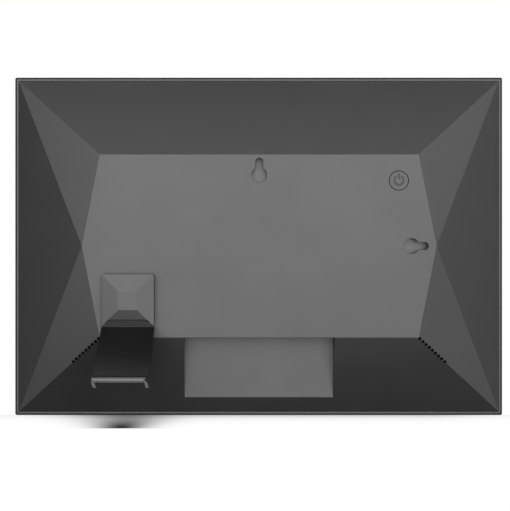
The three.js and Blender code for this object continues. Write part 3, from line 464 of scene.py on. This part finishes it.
def circuit_board():
    """Green solder mask over copper tracks, with tinned pads on a grid."""
    finish = Finish("board")
    x, rise = finish.along(ACROSS), finish.along(UP)
    drift = finish.noise(90.0, detail=1.0) * 0.004
    tracks = stripes(x + drift, 0.0016, 0.28) | stripes(rise - drift, 0.0021, 0.24)
    area = finish.noise(120.0, detail=0.0) > 0.5
    pads = stripes(x, PAD_PITCH, 0.32) & stripes(rise, PAD_PITCH, 0.32)
    pads = pads & (finish.noise(85.0, detail=0.0) > 0.58)
    mask = finish.blend(tracks & area, (0.006, 0.055, 0.028, 1), (0.012, 0.11, 0.052, 1))
    finish.set(Base_Color=finish.blend(pads, mask, (0.62, 0.58, 0.50, 1)), Metallic=pads * 0.9,
               Roughness=finish.span(finish.noise(300.0, detail=3.0), 0.3, 0.7, 0.28, 0.40))
    finish.bump((tracks & area) * 0.5 + pads, distance=0.00004)
    return finish.material


def chip():
    finish = Finish("chip")
    specks = finish.noise(3500.0, detail=2.0, roughness=0.6)
    finish.set(Base_Color=finish.blend(specks, (0.006, 0.006, 0.0065, 1), (0.022, 0.022, 0.023, 1)),
               Roughness=finish.span(finish.noise(150.0, detail=3.0), 0.3, 0.7, 0.38, 0.52))
    finish.bump(specks, distance=0.00001)
    return finish.material


def flex():
    """Amber film with copper tracks under it."""
    finish = Finish("flex")
    tracks = stripes(finish.along(ACROSS), 0.0010, 0.5)
    finish.set(Base_Color=finish.blend(tracks, (0.30, 0.115, 0.018, 1), (0.48, 0.22, 0.045, 1)),
               Roughness=finish.span(finish.noise(240.0, detail=3.0), 0.3, 0.7, 0.25, 0.40))
    finish.bump(tracks, distance=0.00002)
    return finish.material


def wire():
    finish = Finish("wire")
    marks = finish.noise(420.0, detail=3.0, roughness=0.6)
    finish.set(Base_Color=finish.blend(marks, (0.007, 0.007, 0.007, 1), (0.018, 0.018, 0.018, 1)),
               Roughness=finish.span(marks, 0.3, 0.7, 0.40, 0.55))
    return finish.material


FINISHES = {
    "cover_plastic": cover_plastic(),
    "bezel_plastic": bezel_plastic(),
    "black_glass": black_glass(),
    "foam": foam(),
    "light_guide": light_guide(),
    "white_plastic": white_plastic(),
    "steel": steel(),
    "board": circuit_board(),
    "chip": chip(),
    "flex": flex(),
    "wire": wire(),
}
OWN_FINISH = {"power_button": button_plastic(), "stand_leg": leg_plastic()}

SLOTS = {entry["node"]: entry["material_slot"] for entry in frame["record"]["subparts"]}
BODIES = frame["record"]["behaviour"]["bodies"]
BODY_OF = {node: body for body, members in BODIES.items() for node in members}


def add_piece(name, made, finish):
    """Turns a finished bmesh into an object."""
    mesh = bpy.data.meshes.new(name)
    made.to_mesh(mesh)
    made.free()
    mesh.materials.append(finish)
    return add_object(name, mesh)


def apply_finishes():
    for node, item in frame["nodes"].items():
        finish = OWN_FINISH.get(node) or FINISHES[SLOTS[node]]
        item.data.materials.clear()
        item.data.materials.append(finish)


# ---- Edges -------------------------------------------------------------------------------------

BEZEL_WALL = 0.0014
LIP_OVERHANG = 0.00043               # the bezel's rear lip leans over the parting groove
LIP_REACH = 0.4 * BEZEL_WALL
RIM_REACH = 0.0012                   # the chamfer along the bezel's outer rear edge lies in this
NEAR = 0.00002                       # tolerance on a place
WELD = 0.00001
LEAST_LEG_EDGE = 0.0008
BUTTON_FACE_DEPTH = 0.0003
FLAT_BEND = 0.6                      # degrees: faces that bend less than this become one
LEAST_BEND = 9                       # degrees: edges that bend less than this stay as they are


def on_plate(spot):
    return spot[1] > PLATE_OUT - NEAR


def bezel_edge(spots, length):
    return all(spot[1] > -NEAR for spot in spots) and all(
        abs(spot[0]) > HALF_WIDTH - RIM_REACH or abs(spot[2]) > HALF_HEIGHT - RIM_REACH
        for spot in spots)


def block_edge(spots, length):
    return all(on_plate(spot) for spot in spots)


def leg_edge(spots, length):
    return length > LEAST_LEG_EDGE


def button_edge(spots, length):
    return all(spot[1] > PLATE_OUT - BUTTON_FACE_DEPTH for spot in spots)


# The radius of each piece's rounds, and the test that chooses its edges by the places of their
# two ends and their length.
ROUNDED = {
    "front_bezel": (BEZEL_ROUND - NEAR, bezel_edge),
    "stand_block": (0.00030, block_edge),
    "stand_leg": (0.00025, leg_edge),
    "power_button": (0.00012, button_edge),
}


def spot_of(vertex):
    """A vertex's place on the leaning frame: across, out and rise."""
    offset = vertex.co - CENTRE
    return offset.dot(ACROSS), offset.dot(BACK), offset.dot(UP)


def bend_of(edge):
    """Degrees between the two faces that meet at an edge."""
    return math.degrees(edge.calc_face_angle()) if len(edge.link_faces) == 2 else 0.0


def square_rim(made):
    """Takes the bezel's rear outer edge back to a square corner, ready to be rounded."""
    moves = []
    for vertex in made.verts:
        x, out, rise = spot_of(vertex)
        inner = abs(x) < HALF_WIDTH - RIM_REACH and abs(rise) < HALF_HEIGHT - RIM_REACH
        if out < -NEAR or inner:
            continue
        lower = [edge.other_vert(vertex) for edge in vertex.link_edges]
        lower = [other for other in lower if spot_of(other)[1] < -NEAR]
        nearest = min(lower, key=lambda other: (other.co - vertex.co).length)
        under = spot_of(nearest)
        moves.append((vertex, ACROSS * (under[0] - x) + UP * (under[2] - rise)))
    for vertex, move in moves:
        vertex.co += move


def lean_lip(made):
    """Moves the inner edge of the bezel's rear rim over the parting groove."""
    for vertex in made.verts:
        x, out, rise = spot_of(vertex)
        if out < -NEAR:
            continue
        if abs(HALF_WIDTH - BEZEL_WALL - abs(x)) < LIP_REACH:
            vertex.co -= ACROSS * math.copysign(LIP_OVERHANG, x)
        if abs(HALF_HEIGHT - BEZEL_WALL - abs(rise)) < LIP_REACH:
            vertex.co -= UP * math.copysign(LIP_OVERHANG, rise)


def keep_inside(made, spots):
    """Draws the corner ends of the rounds back to the plain piece's own bounds."""
    for vertex in made.verts:
        for axis, value, side in zip((ACROSS, BACK, UP), spot_of(vertex), zip(*spots)):
            vertex.co += axis * (min(max(value, min(side)), max(side)) - value)


def round_edges(node, radius, chosen):
    """Stands a copy with rounded edges in for one piece."""
    is_bezel = node == "front_bezel"
    made = bmesh.new()
    made.from_mesh(frame["nodes"][node].data)
    bmesh.ops.remove_doubles(made, verts=made.verts, dist=WELD)
    if is_bezel:
        square_rim(made)
    bmesh.ops.dissolve_limit(made, angle_limit=math.radians(FLAT_BEND), verts=made.verts,
                             edges=made.edges)
    if is_bezel:
        lean_lip(made)
    edges = [edge for edge in made.edges if bend_of(edge) > LEAST_BEND
             and chosen([spot_of(vertex) for vertex in edge.verts], edge.calc_length())]
    spots = [spot_of(vertex) for vertex in made.verts]
    bevel = bmesh.ops.bevel(made, geom=edges, offset=radius, offset_type="OFFSET", segments=2,
                            profile=0.5, affect="EDGES", clamp_overlap=not is_bezel)
    rounds = set(bevel["faces"])
    keep_inside(made, spots)
    for face in made.faces:
        face.smooth = True
    for edge in made.edges:
        edge.smooth = bend_of(edge) < 1 or not rounds.isdisjoint(edge.link_faces)
    piece = add_piece(node + "_rounded", made, frame["nodes"][node].data.materials[0])
    level = piece.modifiers.new("level_faces", "WEIGHTED_NORMAL")
    level.mode = "FACE_AREA"
    level.weight = 100
    level.keep_sharp = True
    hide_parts(node)
    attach(piece, BODY_OF[node])


def soften_edges():
    for node, (radius, chosen) in ROUNDED.items():
        round_edges(node, radius, chosen)


# ---- Vents -------------------------------------------------------------------------------------

PLATE_CORNER = Vector((0.0847, PLATE_OUT, -0.0486))      # across, out, rise
COVER_CORNER = Vector((0.13085, 0.0, -0.0901))
VENTS = 9
VENT_START = 0.0010
VENT_PITCH = 0.00237
# dark sheets that stand in for the shade inside the vents
SHEET_HALF_WIDTH = 0.00115
SHEET_OVERRUN = 0.0011
SHEET_DEPTH = 0.00055
SHEET_THICKNESS = 0.00012


def vent_shade_sheet(name, side, finish):
    """A dark sheet just behind one row of vents that stands in for the shade inside them, so that
    they show as dark holes.
    """
    ridge = COVER_CORNER - PLATE_CORNER
    step = ridge / Vector((ridge.x, ridge.z)).length
    across = Vector((-step.z, 0.0, step.x))
    made = bmesh.new()
    corners = []
    for along in (VENT_START - SHEET_OVERRUN,
                  VENT_START + (VENTS - 1) * VENT_PITCH + SHEET_OVERRUN):
        for depth in (SHEET_DEPTH, SHEET_DEPTH + SHEET_THICKNESS):
            for edge in (-SHEET_HALF_WIDTH, SHEET_HALF_WIDTH):
                spot = PLATE_CORNER + step * along + across * edge
                corners.append(made.verts.new(place(side * spot.x, spot.y - depth, spot.z)))
    bmesh.ops.convex_hull(made, input=corners)
    piece = add_piece(name, made, finish)
    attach(piece, BODY_OF["rear_cover"])


def cover_vents():
    cloth = shade_sheet_cloth()
    vent_shade_sheet("vent_shade_sheet_left", -1, cloth)
    vent_shade_sheet("vent_shade_sheet_right", 1, cloth)


# ---- Floor and world ---------------------------------------------------------------------------

# Each ramp below is two limits and the value at each of them.
SHADOW_LINE = CENTRE.y - 0.0300      # the painted shadow of the frame starts here and fades towards the viewer
EDGE_SHADOW = 0.55
EDGE_FADE = 0.0065
EDGE_SHARE = (0.095, 0.135, 1.0, 0.25)               # along x, from the middle
FOOT_ACROSS = (-0.037, -0.006, 0.0785, 0.0720)       # these four along y, from the line
FOOT_WIDTH = (-0.033, -0.008, 0.0114, 0.0175)
FOOT_END = (-0.0385, -0.0355, 0.0, 1.0)
FOOT_SHADOW = (-0.034, -0.012, 0.99, 0.74)
TABLE_COLOUR = (0.06, 0.45, 0.14, 0.0)               # these two along the squared distance
TABLE_GLOW = (0.06, 0.45, 0.80, 1.0)


def contact_shadow(finish, x, y):
    """Painted shadow on the table's underside: light left in front of the frame and its foot, which
    both shade it softly.
    """
    past = y - SHADOW_LINE
    front = past < 0.0
    near = past.math("MINIMUM", past, 0.0)
    edge = front * EDGE_SHADOW * (near / EDGE_FADE).exponent()
    ends = finish.span(abs(x), *EDGE_SHARE)
    beside = (x - finish.span(near, *FOOT_ACROSS)) / finish.span(near, *FOOT_WIDTH)
    foot = front * (beside * beside * -0.5).exponent()
    foot = foot * finish.span(near, *FOOT_END) * finish.span(near, *FOOT_SHADOW)
    left = (1.0 - edge * ends) * (1.0 - foot)
    return finish.blend(left, (0, 0, 0, 1), (1, 1, 1, 1))


def add_floor():
    """A pale table top that shows from above; from below it is clear but for a painted shadow, so
    that it never hides the part.
    """
    bpy.ops.mesh.primitive_plane_add(size=6, location=(0, 0, 0))
    floor = bpy.context.object
    floor.name = "floor"
    finish = Finish("floor")
    x, y = finish.coordinate("X"), finish.coordinate("Y")
    away = x * x + y * y
    finish.set(Base_Color=finish.span(away, *TABLE_COLOUR),
               Emission_Color=finish.span(away, *TABLE_GLOW),
               Emission_Strength=1.0, Roughness=0.7)
    below = finish.node("ShaderNodeNewGeometry", output="Backfacing")
    solid = Wire(finish, finish.shader.outputs[0])
    # from below, the table is clear but for the painted shadow
    clear = finish.node("ShaderNodeBsdfTransparent", Color=contact_shadow(finish, x, y))
    mixed = finish.node("ShaderNodeMixShader", None, below, solid, clear)
    finish.feed(finish.nodes["Material Output"].inputs["Surface"], mixed)
    floor.data.materials.append(finish.material)
    floor.visible_shadow = False
    floor.visible_glossy = False
    floor.visible_diffuse = False


WORLD_LIGHT = 0.005                  # what reaches the part; the camera sees plain white


def set_world():
    world = bpy.data.worlds.new("world")
    bpy.context.scene.world = world
    world.use_nodes = True
    tree = Tree(world.node_tree)
    seen = tree.node("ShaderNodeLightPath", output="Is Camera Ray")
    background = tree.nodes["Background"]
    tree.feed(background.inputs["Color"], (1, 1, 1, 1))
    tree.feed(background.inputs["Strength"], tree.span(seen, 0.0, 1.0, WORLD_LIGHT, 1.0))


# ---- Build -------------------------------------------------------------------------------------

add_camera()
light_the_set()
set_world()
add_floor()
apply_finishes()
soften_edges()
cover_vents()
bpy.context.scene.view_settings.view_transform = "Standard"
